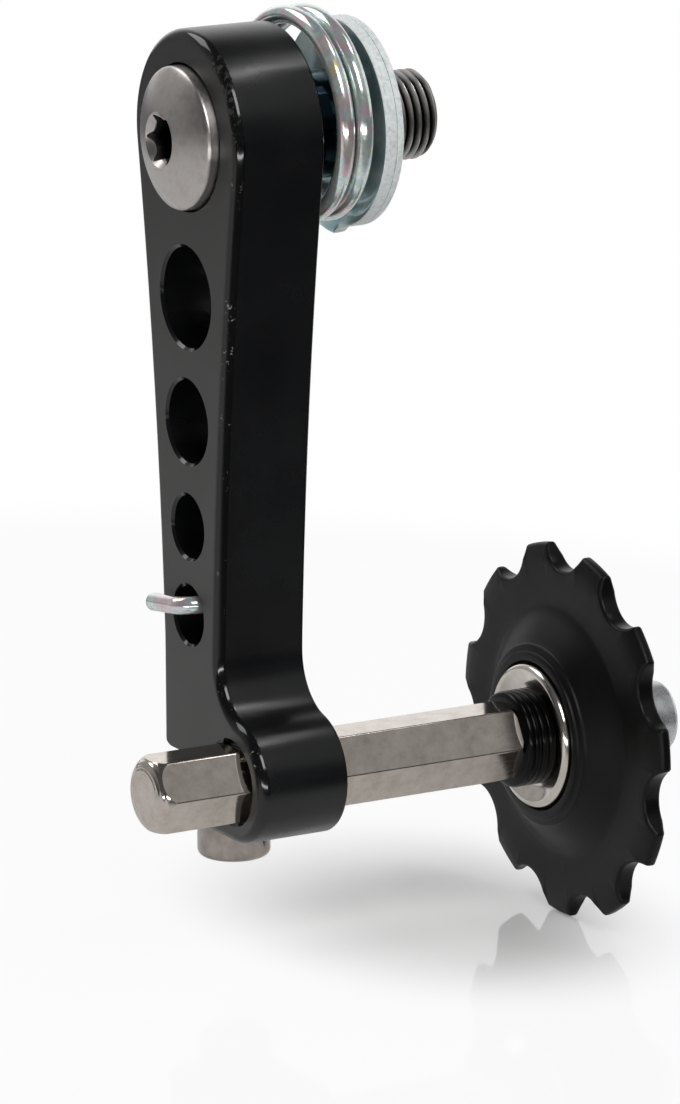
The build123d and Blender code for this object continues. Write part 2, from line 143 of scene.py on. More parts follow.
def surface(tree, colour, gloss, reliefs, settings):
    """Ends a material in one principled shader. The gloss is a pattern and the roughness where it
    is low and high. Each relief is a pattern, its strength and its depth in millimetres."""
    pattern, low, high = gloss
    # Noise seldom leaves the span from 0.3 to 0.7
    roughness = add_node(
        tree,
        "ShaderNodeMapRange",
        {"Value": pattern, "From Min": 0.3, "From Max": 0.7, "To Min": low, "To Max": high},
    ).outputs["Result"]
    inputs = {"Base Color": colour, "Roughness": roughness, **settings}
    for height, strength, depth in reliefs:
        relief = {"Height": height, "Strength": strength, "Distance": depth * mm}
        if "Normal" in inputs:
            relief["Normal"] = inputs["Normal"]
        inputs["Normal"] = add_node(tree, "ShaderNodeBump", relief).outputs["Normal"]
    shader = add_node(tree, "ShaderNodeBsdfPrincipled", inputs)
    output = add_node(tree, "ShaderNodeOutputMaterial")
    tree.links.new(shader.outputs["BSDF"], output.inputs["Surface"])


def anodised_aluminium(name, roughness, colours, relief, specular=0.5, chipped=False):
    """Machined aluminium, dyed black in the anodising bath: soft sheens on the tumbled faces and
    tighter ones where the tool or a hand has polished it. Where it is chipped, the front edge on
    the chain's side shows bare metal, most of all round the top boss."""
    material, tree, place = new_material(name)
    # Blast grain of about 0.2 mm, and clouds of 11 mm in the dye
    grain = add_node(
        tree, "ShaderNodeTexNoise", {"Vector": place, "Scale": 1 / (0.19 * mm), "Detail": 2.0}
    ).outputs["Fac"]
    cloud = add_node(
        tree, "ShaderNodeTexNoise", {"Vector": place, "Scale": 1 / (11 * mm), "Detail": 4.0}
    ).outputs["Fac"]
    colour = add_node(
        tree, "ShaderNodeValToRGB", {"Fac": cloud}, stops=zip((0.3, 0.7), colours)
    ).outputs["Color"]
    if chipped:
        parts = add_node(tree, "ShaderNodeSeparateXYZ", {"Vector": place}).outputs
        outer = add_node(
            tree,
            "ShaderNodeMapRange",
            {"Value": parts["X"], "From Min": 5.4 * mm, "From Max": 6 * mm},
        ).outputs["Result"]
        near_front = add_node(
            tree,
            "ShaderNodeMapRange",
            {"Value": parts["Y"], "From Min": -19.7 * mm, "From Max": -20.3 * mm},
        ).outputs["Result"]
        rubbed = add_node(
            tree,
            "ShaderNodeMapRange",
            {"Value": parts["Z"], "From Min": 1 * mm, "From Max": 5 * mm, "To Max": 0.09},
        ).outputs["Result"]
        # Patches of 7 mm in which the edge was knocked, and specks of 0.6 mm inside them
        patch = add_node(
            tree, "ShaderNodeTexNoise", {"Vector": place, "Scale": 1 / (7 * mm), "Detail": 2.0}
        ).outputs["Fac"]
        patch = add_node(
            tree, "ShaderNodeMapRange", {"Value": patch, "From Min": 0.5, "From Max": 0.6}
        ).outputs["Result"]
        patch = add_node(
            tree, "ShaderNodeMath", {0: patch, 1: rubbed}, operation="MAXIMUM"
        ).outputs[0]
        speck = add_node(
            tree,
            "ShaderNodeTexNoise",
            {"Vector": place, "Scale": 1 / (0.6 * mm), "Detail": 5.0, "Roughness": 0.7},
        ).outputs["Fac"]
        speck = add_node(
            tree, "ShaderNodeMath", {0: speck, 1: rubbed}, operation="ADD"
        ).outputs[0]
        chip = add_node(
            tree, "ShaderNodeMapRange", {"Value": speck, "From Min": 0.6, "From Max": 0.67}
        ).outputs["Result"]
        for share in (outer, near_front, patch):
            chip = add_node(
                tree, "ShaderNodeMath", {0: chip, 1: share}, operation="MULTIPLY"
            ).outputs[0]
        colour = add_node(
            tree,
            "ShaderNodeMix",
            {"Factor": chip, 6: colour, 7: linear("b4b5b3")},
            data_type="RGBA",
        ).outputs[2]
    settings = {"Specular IOR Level": specular}
    surface(tree, colour, (cloud, *roughness), [(grain, 0.35, relief)], settings)
    return material


def bolt_steel_with_painted_shade():
    """Satin nickel-plated steel of the pivot bolt, with painted shade: the thread's valleys and the
    socket are dark brown, and the thread's crests, the dome and the rear end keep the steel's
    colour."""
    material, tree, place = new_material("satin_bolt_steel")
    # Clouds of 2 mm in the plating and a grain of 0.4 mm
    cloud = add_node(
        tree,
        "ShaderNodeTexNoise",
        {"Vector": place, "Scale": 1 / (2 * mm), "Detail": 5.0, "Roughness": 0.65},
    ).outputs["Fac"]
    grain = add_node(
        tree, "ShaderNodeTexNoise", {"Vector": place, "Scale": 1 / (0.4 * mm), "Detail": 3.0}
    ).outputs["Fac"]
    parts = add_node(tree, "ShaderNodeSeparateXYZ", {"Vector": place}).outputs
    across = add_node(tree, "ShaderNodeCombineXYZ", {"X": parts["X"], "Z": parts["Z"]})
    off_axis = add_node(
        tree, "ShaderNodeVectorMath", {0: across.outputs[0]}, operation="LENGTH"
    ).outputs["Value"]
    crest = add_node(
        tree,
        "ShaderNodeMapRange",
        {"Value": off_axis, "From Min": 4.5 * mm, "From Max": 4.9 * mm},
    ).outputs["Result"]
    dome = add_node(
        tree,
        "ShaderNodeMapRange",
        {"Value": parts["Y"], "From Min": -22.2 * mm, "From Max": -23.3 * mm},
    ).outputs["Result"]
    bolt_end = add_node(
        tree,
        "ShaderNodeMapRange",
        {"Value": parts["Y"], "From Min": 8.2 * mm, "From Max": 8.35 * mm},
    ).outputs["Result"]
    unshaded_share = add_node(tree, "ShaderNodeMath", {0: crest, 1: dome}, operation="MAXIMUM").outputs[0]
    unshaded_share = add_node(
        tree, "ShaderNodeMath", {0: unshaded_share, 1: bolt_end}, operation="MAXIMUM"
    ).outputs[0]
    steel = add_node(
        tree,
        "ShaderNodeValToRGB",
        {"Fac": cloud},
        stops=[(0.3, "aaa6a4"), (0.5, "bdb8b5"), (0.7, "b3aca9")],
    ).outputs["Color"]
    # Painted shade: dark brown everywhere but the crests, the dome and the rear end
    colour = add_node(
        tree, "ShaderNodeMix", {"Factor": unshaded_share, 6: linear("1d1815"), 7: steel}, data_type="RGBA"
    ).outputs[2]
    surface(tree, colour, (grain, 0.28, 0.4), [(grain, 0.12, 0.01)], {"Metallic": 1.0})
    return material


def plated_steel(name, colours, roughness, relief=0.15):
    """Turned or pressed steel under a plating: slow clouds in its colour, a grain in its gloss."""
    material, tree, place = new_material(name)
    # Clouds of 2.2 mm in the plating and a grain of 0.4 mm
    cloud = add_node(
        tree,
        "ShaderNodeTexNoise",
        {"Vector": place, "Scale": 1 / (2.2 * mm), "Detail": 5.0, "Roughness": 0.65},
    ).outputs["Fac"]
    grain = add_node(
        tree, "ShaderNodeTexNoise", {"Vector": place, "Scale": 1 / (0.4 * mm), "Detail": 3.0}
    ).outputs["Fac"]
    colour = add_node(
        tree, "ShaderNodeValToRGB", {"Fac": cloud}, stops=zip((0.3, 0.7), colours)
    ).outputs["Color"]
    surface(tree, colour, (grain, *roughness), [(grain, relief, 0.01)], {"Metallic": 1.0})
    return material


def drawn_nickel():
    """Bright nickel on drawn steel bar: a grain along the bar, and turning rings on its nose."""
    material, tree, place = new_material("drawn_bar_nickel")
    # Clouds of 2 mm, and drawing streaks 0.4 mm wide and five times as long
    cloud = add_node(
        tree,
        "ShaderNodeTexNoise",
        {"Vector": place, "Scale": 1 / (2 * mm), "Detail": 5.0, "Roughness": 0.7},
    ).outputs["Fac"]
    drawn = add_node(tree, "ShaderNodeMapping", {"Vector": place, "Scale": (1, 0.2, 1)})
    grain = add_node(
        tree,
        "ShaderNodeTexNoise",
        {
            "Vector": drawn.outputs["Vector"], "Scale": 1 / (0.4 * mm),
            "Detail": 4.0, "Roughness": 0.6,
        },
    ).outputs["Fac"]
    shifted = add_node(
        tree,
        "ShaderNodeVectorMath",
        {0: place, 1: (mast_x * mm, 0, mast_z * mm)},
        operation="SUBTRACT",
    ).outputs[0]
    parts = add_node(tree, "ShaderNodeSeparateXYZ", {"Vector": shifted}).outputs
    across = add_node(tree, "ShaderNodeCombineXYZ", {"X": parts["X"], "Z": parts["Z"]})
    off_axis = add_node(
        tree, "ShaderNodeVectorMath", {0: across.outputs[0]}, operation="LENGTH"
    ).outputs["Value"]
    # Rings from the lathe tool; 0.45 mm apart, coarser than real ones, so that they show
    wave = add_node(
        tree,
        "ShaderNodeMath",
        {0: off_axis, 1: 2 * math.pi / (0.45 * mm)},
        operation="MULTIPLY",
    ).outputs[0]
    wave = add_node(tree, "ShaderNodeMath", {0: wave}, operation="SINE").outputs[0]
    nose = add_node(
        tree,
        "ShaderNodeMapRange",
        {"Value": parts["Y"], "From Min": -29.8 * mm, "From Max": -30.8 * mm},
    ).outputs["Result"]
    rings = add_node(tree, "ShaderNodeMath", {0: wave, 1: nose}, operation="MULTIPLY").outputs[0]
    colour = add_node(
        tree,
        "ShaderNodeValToRGB",
        {"Fac": cloud},
        stops=[(0.3, "b3a9a0"), (0.5, "c4bbb3"), (0.7, "cfc7bf")],
    ).outputs["Color"]
    reliefs = [(grain, 0.14, 0.01), (rings, 0.7, 0.02)]
    surface(tree, colour, (grain, 0.07, 0.16), reliefs, {"Metallic": 1.0})
    return material


def moulded_nylon(name, roughness):
    """Glass-filled nylon from a spark-eroded mould: nearly black, dull, with a faint mottle."""
    material, tree, place = new_material(name)
    # Mould grain of 0.3 mm and flow clouds of 8 mm
    grain = add_node(
        tree, "ShaderNodeTexNoise", {"Vector": place, "Scale": 1 / (0.3 * mm), "Detail": 3.0}
    ).outputs["Fac"]
    cloud = add_node(
        tree, "ShaderNodeTexNoise", {"Vector": place, "Scale": 1 / (8 * mm), "Detail": 4.0}
    ).outputs["Fac"]
    colour = add_node(
        tree, "ShaderNodeValToRGB", {"Fac": cloud}, stops=[(0.3, "080708"), (0.7, "0d0c0c")]
    ).outputs["Color"]
    settings = {"Specular IOR Level": 0.2}
    surface(tree, colour, (cloud, *roughness), [(grain, 0.12, 0.02)], settings)
    return material


def black_oxide():
    """Oiled black oxide on the turned spacer rings: black, with narrow lines of light."""
    material, tree, place = new_material("black_oxide")
    # Turning streaks 0.33 mm wide, ten times as long along the axis
    turned_way = add_node(tree, "ShaderNodeMapping", {"Vector": place, "Scale": (1, 0.1, 1)})
    grain = add_node(
        tree,
        "ShaderNodeTexNoise",
        {"Vector": turned_way.outputs["Vector"], "Scale": 1 / (0.33 * mm), "Detail": 3.0},
    ).outputs["Fac"]
    settings = {"Specular IOR Level": 0.15}
    surface(tree, linear("050506"), (grain, 0.16, 0.26), [(grain, 0.1, 0.01)], settings)
    return material


def passivated_zinc(name, film, drift_size, roughness, metallic):
    """Zinc plate under a clear chromate film, whose pale interference colours drift along it."""
    material, tree, place = new_material(name)
    drift = add_node(
        tree,
        "ShaderNodeTexNoise",
        {"Vector": place, "Scale": 1 / (drift_size * mm), "Detail": 4.0, "Roughness": 0.6},
    ).outputs["Fac"]
    # Plating grain of 0.42 mm
    grain = add_node(
        tree, "ShaderNodeTexNoise", {"Vector": place, "Scale": 1 / (0.42 * mm), "Detail": 3.0}
    ).outputs["Fac"]
    colour = add_node(tree, "ShaderNodeValToRGB", {"Fac": drift}, stops=film).outputs["Color"]
    gloss = (grain, roughness, roughness + 0.12)
    surface(tree, colour, gloss, [(grain, 0.12, 0.01)], {"Metallic": metallic})
    return material


def torn_zinc():
    """Zinc on the rim that the punch tore: white, matt and grainy, so only partly metallic."""
    material, tree, place = new_material("torn_rim_zinc")
    # Torn grain of 0.52 mm
    grain = add_node(
        tree,
        "ShaderNodeTexNoise",
        {"Vector": place, "Scale": 1 / (0.52 * mm), "Detail": 4.0, "Roughness": 0.7},
    ).outputs["Fac"]
    colour = add_node(
        tree,
        "ShaderNodeValToRGB",
        {"Fac": grain},
        stops=[(0.3, "c9d4d6"), (0.5, "eaf0f0"), (0.7, "fafafa")],
    ).outputs["Color"]
    surface(tree, colour, (grain, 0.42, 0.6), [(grain, 0.5, 0.03)], {"Metallic": 0.1})
    return material


blasted = anodised_aluminium(
    "blasted_black_aluminium", (0.36, 0.44), ("191817", "21201e"), relief=0.02, specular=0.65
)
satin = anodised_aluminium(
    "satin_black_aluminium", (0.2, 0.32), ("090a0c", "0d0e10"), relief=0.008
)
burnished = anodised_aluminium(
    "burnished_black_aluminium", (0.09, 0.14), ("060607", "09090a"), relief=0.002, chipped=True
)
nylon = moulded_nylon("moulded_nylon", (0.36, 0.46))
nylon_flank = moulded_nylon("moulded_nylon_flank", (0.24, 0.32))
oxide = black_oxide()
bolt_steel = bolt_steel_with_painted_shade()
mast_nickel = drawn_nickel()
screw_nickel = plated_steel("screw_nickel", ("948b86", "b9afa9"), (0.05, 0.12), relief=0.06)
cap_nickel = plated_steel("bright_cap_nickel", ("cdc6bc", "e3ded6"), (0.1, 0.18))
# The sleeve's near-black colour is painted shade and painted dark reflection of the gap inside the
# coil
sleeve_steel = plated_steel("shade_darkened_sleeve_steel", ("0d151b", "17232b"), (0.06, 0.12))
spring_film = [
    (0.30, "dfe4c8"), (0.36, "e9e4e0"), (0.42, "e3c9cf"), (0.47, "dcdde6"), (0.52, "c3dccd"),
    (0.57, "eef0ec"), (0.63, "bfd8e4"), (0.70, "e6dcae"),
]
spring_zinc = passivated_zinc("spring_zinc", spring_film, 3, 0.08, 0.7)
plate_film = [(0.3, "8dbac2"), (0.45, "b5d3d7"), (0.58, "d8e8e9"), (0.7, "e9f1f1")]
plate_zinc = passivated_zinc("plate_zinc", plate_film, 3.3, 0.14, 0.7)
axle_film = [(0.3, "a9aeb0"), (0.5, "c6cacb"), (0.7, "dcdedf")]
axle_zinc = passivated_zinc("axle_zinc", axle_film, 2, 0.2, 0.75)
rim_zinc = torn_zinc()

finishes = {
    "arm_black": satin,
    "bolt_steel": bolt_steel,
    "sleeve_steel": sleeve_steel,
    "spring_zinc": spring_zinc,
    "plate_zinc": plate_zinc,
    "mast_nickel": mast_nickel,
    "screw_nickel": screw_nickel,
    "cap_nickel": cap_nickel,
    "ring_black": oxide,
    "wheel_plastic": nylon,
    "washer_plastic": nylon,
    "bush_steel": screw_nickel,
}
slots = {part["node"]: part["material_slot"] for part in frame["record"]["subparts"]}
for node, slot in slots.items():
    cad_mesh = nodes[node].data
    cad_mesh.materials.clear()
    cad_mesh.materials.append(finishes[slot])


def only(piece):
    """Selects this piece alone and makes it the active one."""
    bpy.ops.object.select_all(action="DESELECT")
    piece.select_set(True)
    bpy.context.view_layer.objects.active = piece


def edit_all():
    """Opens the active piece in edit mode with all of it selected."""
    bpy.ops.object.mode_set(mode="EDIT")
    bpy.ops.mesh.select_all(action="SELECT")


def keep_piece(piece, name, materials, body, replaced, crease=32):
    """Names a modelled piece, smooths it, hides the CAD part it stands for, and attaches it to its
    body.
    """
    only(piece)
    bpy.ops.object.transform_apply(location=True, rotation=True, scale=True)
    edit_all()
    bpy.ops.mesh.normals_make_consistent(inside=False)
    bpy.ops.object.mode_set(mode="OBJECT")
    bpy.ops.object.shade_smooth_by_angle(angle=math.radians(crease))
    piece.name = piece.data.name = name
    piece.data.materials.clear()
    for material in materials:
        piece.data.materials.append(material)
    if body:
        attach(piece, body)
    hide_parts(replaced)
    return piece


def turned(rows, centre=(mast_x, mast_z), sides=160, bored=True):
    """Turns a piece about an axis along Y from rows of (radius, y): a circle is extruded from row
    to row and resized there. A bored piece ends on its first row, and a solid one is capped."""
    bpy.ops.object.select_all(action="DESELECT")
    radius, y = rows[0]
    bpy.ops.mesh.primitive_circle_add(
        vertices=sides,
        radius=radius * mm,
        fill_type="NOTHING" if bored else "NGON",
        location=(centre[0] * mm, y * mm, centre[1] * mm),
        rotation=(math.radians(90), 0, 0),
    )
    bpy.ops.object.transform_apply(location=True, rotation=True, scale=True)
    bpy.ops.object.mode_set(mode="EDIT")
    bpy.ops.mesh.select_mode(type="VERT")
    bpy.ops.mesh.select_all(action="SELECT")
    for next_radius, next_y in rows[1:] + (rows[:1] if bored else []):
        bpy.ops.mesh.extrude_region_move(
            TRANSFORM_OT_translate={"value": (0, (next_y - y) * mm, 0)}
        )
        if next_radius != radius:
            bpy.ops.transform.resize(
                value=(next_radius / radius, 1, next_radius / radius),
                center_override=(centre[0] * mm, next_y * mm, centre[1] * mm),
            )
        radius, y = next_radius, next_y
    bpy.ops.mesh.select_all(action="SELECT")
    if bored:
        bpy.ops.mesh.remove_doubles(threshold=merge_distance)
    bpy.ops.mesh.normals_make_consistent(inside=False)
    bpy.ops.object.mode_set(mode="OBJECT")
    return bpy.context.object


def six_sided(across_flats, start_y, end_y, centre=(mast_x, mast_z), eased=0.0):
    """A hexagonal bar along Y with a corner towards +X, its long edges eased by the offset."""
    bpy.ops.object.select_all(action="DESELECT")
    bpy.ops.mesh.primitive_cylinder_add(
        vertices=6,
        radius=across_flats / math.sqrt(3) * mm,
        depth=(end_y - start_y) * mm,
        location=(centre[0] * mm, (start_y + end_y) / 2 * mm, centre[1] * mm),
        rotation=(math.radians(90), math.radians(30), 0),
    )
    bpy.ops.object.transform_apply(location=True, rotation=True, scale=True)
    if eased:
        select_in_edit_mode("EDGE", lambda ends: abs(ends[0].y - ends[1].y) > 1)
        bpy.ops.mesh.bevel(offset=eased * mm, segments=5, affect="EDGES")
        bpy.ops.object.mode_set(mode="OBJECT")
    return bpy.context.object


def select_in_edit_mode(kind, wanted):
    """Opens the active piece in edit mode and selects the vertices, edges or faces whose corners,
    in millimetres, are the wanted ones."""
    bpy.ops.object.mode_set(mode="EDIT")
    bpy.ops.mesh.select_mode(type=kind)
    bpy.ops.mesh.select_all(action="DESELECT")
    mesh = bpy.context.object.data
    shape = bmesh.from_edit_mesh(mesh)
    parts = {"VERT": shape.verts, "EDGE": shape.edges, "FACE": shape.faces}[kind]
    for part in parts:
        corners = [part] if kind == "VERT" else part.verts
        if wanted([corner.co / mm for corner in corners]):
            part.select_set(True)
    bmesh.update_edit_mesh(mesh)


def combine(piece, tool, operation):
    """Cuts the piece with the tool, or keeps what they share, and takes the tool away."""
    modifier = piece.modifiers.new("machining", "BOOLEAN")
    modifier.operation, modifier.solver, modifier.object = operation, "MANIFOLD", tool
    only(piece)
    bpy.ops.object.modifier_apply(modifier=modifier.name)
    bpy.data.objects.remove(tool)
    return piece


def arc(centre_r, centre_y, radius, start, end, steps=8):
    """Rows of a profile along an arc, in degrees from +radius towards +y."""
    angles = [math.radians(start + (end - start) * i / steps) for i in range(steps + 1)]
    return [(centre_r + radius * math.cos(a), centre_y + radius * math.sin(a)) for a in angles]


def skinned(rings):
    """Joins rings of points, in millimetres, into one surface that closes on its first ring. It
    serves the wheel, whose teeth change its section at each angle."""
    shape = bmesh.new()
    rows = [[shape.verts.new(Vector(point) * mm) for point in ring] for ring in rings]
    for lower, upper in zip(rows, rows[1:] + rows[:1]):
        for k in range(len(lower)):
            after = (k + 1) % len(lower)
            shape.faces.new((lower[k], lower[after], upper[after], upper[k]))
    mesh = bpy.data.meshes.new("skinned")
    shape.to_mesh(mesh)
    shape.free()
    piece = bpy.data.objects.new("skinned", mesh)
    bpy.context.collection.objects.link(piece)
    return piece


# Pivot bolt: a domed head with a six-lobe socket, and the fine thread that the CAD leaves plain
head_radius, dome_height = 7.9, 2.3
dome_sphere = (head_radius**2 + dome_height**2) / (2 * dome_height)
thread_pitch, thread_radius, core_radius, thread_end = 1.0, 5.0, 4.4, 8.4


def dome_y(reach):
    """How far along Y the dome lies at this distance from the bolt's axis."""
    return head_rim_y + dome_sphere - dome_height - math.sqrt(dome_sphere**2 - reach**2)


bolt_rows = [(4.3, thread_end), (core_radius, thread_end - 0.1), (core_radius, -0.7)]
bolt_rows += [(thread_radius, -0.8), (thread_radius, head_seat_y), (head_radius, head_seat_y)]
bolt_rows += [(head_radius, head_rim_y + 0.3), (7.88, head_rim_y + 0.16)]
bolt_rows += [(7.8, dome_y(7.8) + 0.05), (7.65, dome_y(7.65) + 0.01)]
bolt_rows += [(7.35 - i * 0.3, dome_y(7.35 - i * 0.3)) for i in range(24)]
bolt = turned(bolt_rows, centre=(0, 0), sides=192, bored=False)

# The thread's ridge: a plane narrowed to the ridge's section and wound by a screw modifier, a
# little longer than the thread and then cut to its ends
ridge_middle, ridge_depth, ridge_foot, crest_share, ridge_turns = 4.66, 0.68, 0.98, 0.143, 10
bpy.ops.object.select_all(action="DESELECT")
bpy.ops.mesh.primitive_plane_add(size=1.0, location=(ridge_middle * mm, -thread_pitch * mm, 0))
ridge = bpy.context.object
ridge.scale = (ridge_depth * mm, ridge_foot * mm, 1.0)
bpy.ops.object.transform_apply(location=True, rotation=True, scale=True)
select_in_edit_mode("VERT", lambda corners: corners[0].x > ridge_middle)
bpy.ops.transform.resize(
    value=(1, crest_share, 1), center_override=(thread_radius * mm, -thread_pitch * mm, 0)
)
bpy.ops.mesh.select_all(action="SELECT")
bpy.ops.mesh.delete(type="ONLY_FACE")
bpy.ops.object.mode_set(mode="OBJECT")
winding = ridge.modifiers.new("winding", "SCREW")
winding.axis, winding.angle = "Y", 2 * math.pi
winding.screw_offset, winding.iterations = thread_pitch * mm, ridge_turns
winding.steps = winding.render_steps = 96
bpy.ops.object.modifier_apply(modifier=winding.name)
edit_all()
bpy.ops.mesh.fill_holes(sides=4)
bpy.ops.mesh.normals_make_consistent(inside=False)
bpy.ops.object.mode_set(mode="OBJECT")
thread_limit = [(4.2, -0.22), (thread_radius, 0.44), (thread_radius, thread_end - 0.7)]
thread_limit += [(4.37, thread_end)]
combine(ridge, turned(thread_limit, centre=(0, 0), sides=192, bored=False), "INTERSECT")
combine(bolt, ridge, "UNION")

# The socket's tool: a tube of twelve sides, every second long edge drawn in, smoothed to six
# lobes of 3.0 mm with waists of 2.2 mm
tool_front_y, socket_floor_y, lobe_corner, lobe_waist = -26.0, -19.35, 3.735, 1.621
socket_tool = turned(
    [(lobe_corner, tool_front_y), (lobe_corner, socket_floor_y)],
    centre=(0, 0), sides=12, bored=False,
)
select_in_edit_mode(
    "VERT",
    lambda corners: round(math.degrees(math.atan2(corners[0].z, corners[0].x)) / 30) % 2 == 1,
)
bpy.ops.transform.resize(
    value=(lobe_waist / lobe_corner, 1, lobe_waist / lobe_corner), center_override=(0, 0, 0)
)
bpy.ops.object.mode_set(mode="OBJECT")
select_in_edit_mode("FACE", lambda corners: len(corners) > 4)
bpy.ops.mesh.delete(type="ONLY_FACE")
bpy.ops.object.mode_set(mode="OBJECT")
smoothing = socket_tool.modifiers.new("smoothing", "SUBSURF")
smoothing.levels = smoothing.render_levels = 3
bpy.ops.object.modifier_apply(modifier=smoothing.name)
edit_all()
bpy.ops.mesh.fill_holes(sides=0)
bpy.ops.mesh.normals_make_consistent(inside=False)
bpy.ops.object.mode_set(mode="OBJECT")
combine(bolt, socket_tool, "DIFFERENCE")
# The socket's mouth is countersunk
socket_rim = 3.08
mouth_y = dome_y(socket_rim)
countersink = [(3.4, mouth_y - 0.32), (socket_rim, mouth_y), (2.4, mouth_y + 0.68)]
combine(bolt, turned(countersink, centre=(0, 0), sides=96, bored=False), "DIFFERENCE")
keep_piece(bolt, "bolt_with_thread", [bolt_steel], "hanger_side", "pivot_bolt", crease=40)

# Torsion spring: a hook in front of the arm, a leg behind it, the coil, and an end that dips into
# the anchor plate. The leg leaves the coil along its tangent.
wire_radius = 1.0
coil_x, coil_z, coil_radius, coil_pitch = 0.6, 1.4, 11.0, 2.3
coil_start_y, coil_end_angle, coil_step = -8.5, -470.0, 3
hook_x, hook_z, hook_tip_x, hook_tip_drop = 1.3, -52.1, -5.7, 0.95
hook_y, leg_y, anchor_y = arm_front_y - 1.3, -8.35, -0.85
hook_bend, leg_bend, anchor_bend = 2.0, 60.0, 1.6
hook_distance = math.hypot(hook_x - coil_x, hook_z - coil_z)
coil_start_angle = (
    math.degrees(math.atan2(hook_z - coil_z, hook_x - coil_x))
    - math.degrees(math.acos(coil_radius / hook_distance))
    + 360
)


def coil_point(degrees):
    """A point of the coil's centre line."""
    turn = math.radians(degrees)
    return Vector(
        (
            coil_x + coil_radius * math.cos(turn),
            coil_start_y + coil_pitch * (coil_start_angle - degrees) / 360,
            coil_z + coil_radius * math.sin(turn),
        )
    )


def coil_way(degrees):
    """The direction in which the centre line runs there, away from the leg."""
    turn = math.radians(degrees)
    rise = coil_pitch / (2 * math.pi * coil_radius)
    return Vector((math.sin(turn), rise, -math.cos(turn))).normalized()


def rounded(points, radii, steps=14):
    """The points with each inner corner replaced by an arc."""
    path = [points[0]]
    for before, corner, after, radius in zip(points, points[1:], points[2:], radii):
        into, away = (before - corner).normalized(), (after - corner).normalized()
        half = into.angle(away) / 2
        cut = radius / math.tan(half)
        middle = corner + (into + away).normalized() * radius / math.sin(half)
        first, last = corner + into * cut - middle, corner + away * cut - middle
        sweep = first.angle(last)
        for i in range(steps + 1):
            share = i / steps
            mixed = first * math.sin((1 - share) * sweep) + last * math.sin(share * sweep)
            path.append(middle + mixed / math.sin(sweep))
    return path + [points[-1]]


coil_start, coil_end = coil_point(coil_start_angle), coil_point(coil_end_angle)
end_corner = coil_end + coil_way(coil_end_angle) * 1.7
hook_path = rounded(
    [
        Vector((hook_tip_x, hook_y, hook_z - hook_tip_drop)),
        Vector((hook_x, hook_y, hook_z)),
        Vector((hook_x, leg_y, hook_z)),
        coil_start - coil_way(coil_start_angle) * 2.0,
        coil_start,
    ],
    [hook_bend, hook_bend, leg_bend],
)
turns = int((coil_start_angle - coil_end_angle) / coil_step)
helix = [
    coil_point(coil_start_angle + (coil_end_angle - coil_start_angle) * i / turns)
    for i in range(1, turns)
]
anchor_path = rounded(
    [coil_end, end_corner, Vector((end_corner.x, anchor_y, end_corner.z))], [anchor_bend]
)
wire_path = hook_path + helix + anchor_path

# The wire is a path bent to its points, given its round section and made a mesh
bpy.ops.object.select_all(action="DESELECT")
bpy.ops.curve.primitive_nurbs_path_add(location=(0, 0, 0))
wire = bpy.context.object
wire.data.splines.clear()
bend = wire.data.splines.new("POLY")
bend.points.add(len(wire_path) - 1)
for point, co in zip(bend.points, wire_path):
    point.co = (*(co * mm), 1.0)
wire.data.dimensions = "3D"
wire.data.bevel_depth = wire_radius * mm
wire.data.bevel_resolution = 12
wire.data.use_fill_caps = True
bpy.ops.object.convert(target="MESH")
# Its fill caps are loose until they are merged; the cut ends are then eased
edit_all()
bpy.ops.mesh.remove_doubles(threshold=merge_distance)
bpy.ops.object.mode_set(mode="OBJECT")
select_in_edit_mode("FACE", lambda corners: len(corners) > 12)
bpy.ops.mesh.bevel(offset=0.35 * mm, segments=3, affect="EDGES")
bpy.ops.object.mode_set(mode="OBJECT")
spring = keep_piece(
    bpy.context.object, "wound_spring", [spring_zinc], None, "torsion_spring", crease=40
)
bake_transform(spring)

# Anchor plate and hanger washer, punched from sheet: a rolled front edge and a torn rear one
rim, disc_bore, tear = 11.65, 5.1, 0.02
plate_front_y, plate_back_y, washer_back_y = -2.3, -0.8, 0.0
tab_angle = math.atan2(end_corner.z, end_corner.x)


def punched(front_y, back_y, seed):
    """A disc with a smooth face, and a rim that the punch sheared and then tore."""
    middle = front_y + 0.55 * (back_y - front_y)
    rows = [(disc_bore, back_y), (disc_bore, front_y), (rim - 0.6, front_y)]
    rows += [(rim - 0.3, front_y + 0.01), (rim - 0.12, front_y + 0.06)]
    rows += [(rim - 0.03, front_y + 0.16)]
    rows += [(rim - 0.02, middle), (rim - 0.06, middle + 0.05), (rim - 0.06, back_y - 0.06)]
    rows += [(rim - 0.1, back_y), (rim - 0.6, back_y)]
    disc = turned(rows, centre=(0, 0), sides=360)
    torn_front = middle - 0.01
    select_in_edit_mode(
        "VERT",
        lambda corners: math.hypot(corners[0].x, corners[0].z) > rim - 0.2
        and torn_front < corners[0].y < back_y - 0.03,
    )
    bpy.ops.transform.vertex_random(offset=tear * mm, seed=seed)
    bpy.ops.object.mode_set(mode="OBJECT")
    return disc


def near_tab(corner, half_width):
    """Whether a corner lies at the rim within so many degrees of the tab's middle."""
    away = math.degrees(math.atan2(corner.z, corner.x) - tab_angle)
    return math.hypot(corner.x, corner.z) > 10 and abs((away + 180) % 360 - 180) < half_width


plate = punched(plate_front_y, plate_back_y, seed=4)
